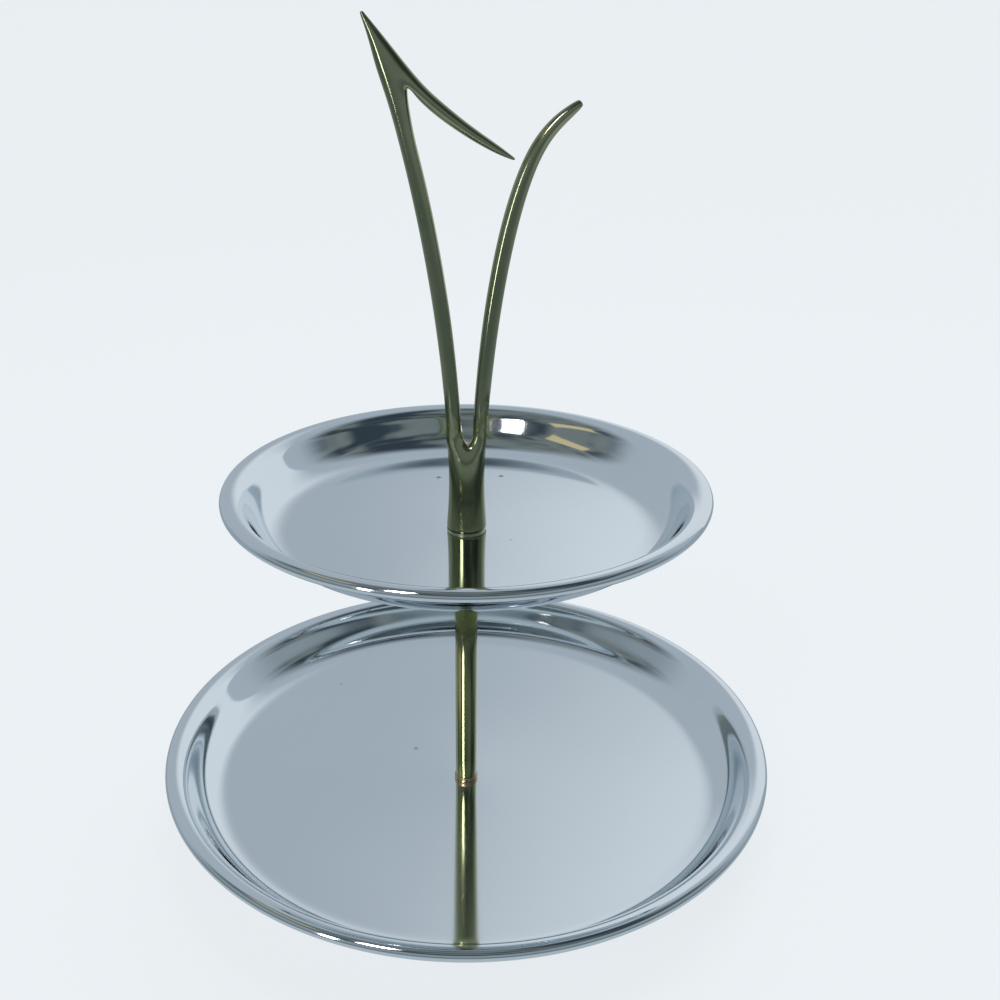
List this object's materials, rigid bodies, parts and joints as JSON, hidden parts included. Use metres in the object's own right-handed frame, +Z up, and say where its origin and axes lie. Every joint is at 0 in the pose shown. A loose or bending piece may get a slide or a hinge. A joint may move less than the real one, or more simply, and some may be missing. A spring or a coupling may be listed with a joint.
{
  "type": "tiered cake stand",
  "caption": "Two-tier cake stand: round dished metal trays with rolled rims on a round post, with a forked cast handle that unscrews and a low foot ring.",
  "frame": {"origin": "on the table plane, on the post's axis, at the middle of the foot ring", "axes": "+Z up along the post, X across the handle's fork with its taller arm towards -X, -Y towards the front"},
  "size_m": [0.3048, 0.3048, 0.3803],
  "materials": {
    "tray_chrome": "polished, lightly brushed floor",
    "foot_chrome": "polished",
    "handle_brass": "polished, aged to olive",
    "post_brass": "polished, aged to olive",
    "collar_brass": "satin",
    "fastener_steel": "zinc plated",
    "spring_steel": "dark"
  },
  "bodies": {
    "base": {"lower_tray": "tray_chrome", "foot_ring": "foot_chrome"},
    "post": {"post": "post_brass", "post_collar": "collar_brass", "base_screw": "fastener_steel", "spring_washer": "spring_steel", "base_washer": "fastener_steel", "support_washer": "fastener_steel"},
    "upper_tray": {"upper_tray": "tray_chrome"},
    "seat": {"seat_washer": "collar_brass"},
    "handle": {"handle": "handle_brass", "handle_stud": "fastener_steel"}
  },
  "joints": [
    {"name": "post_turn", "type": "hinge", "parent": "base", "child": "post", "pos_m": [0, 0, 0.01], "axis": [0, 0, 1], "continuous": true},
    {"name": "upper_tray_turn", "type": "hinge", "parent": "post", "child": "upper_tray", "pos_m": [0, 0, 0.1528], "axis": [0, 0, 1], "continuous": true},
    {"name": "handle_rise", "type": "slide", "parent": "post", "child": "seat", "axis": [0, 0, 1], "range_m": [0, 0.00762]},
    {"name": "handle_unscrew", "type": "hinge", "parent": "seat", "child": "handle", "pos_m": [0, 0, 0.1536], "axis": [0, 0, 1], "range_deg": [0, 2162]}
  ],
  "couplings": [
    {"joint": "handle_unscrew", "follows": "handle_rise", "rad_per_m": 4947.4}
  ]
}
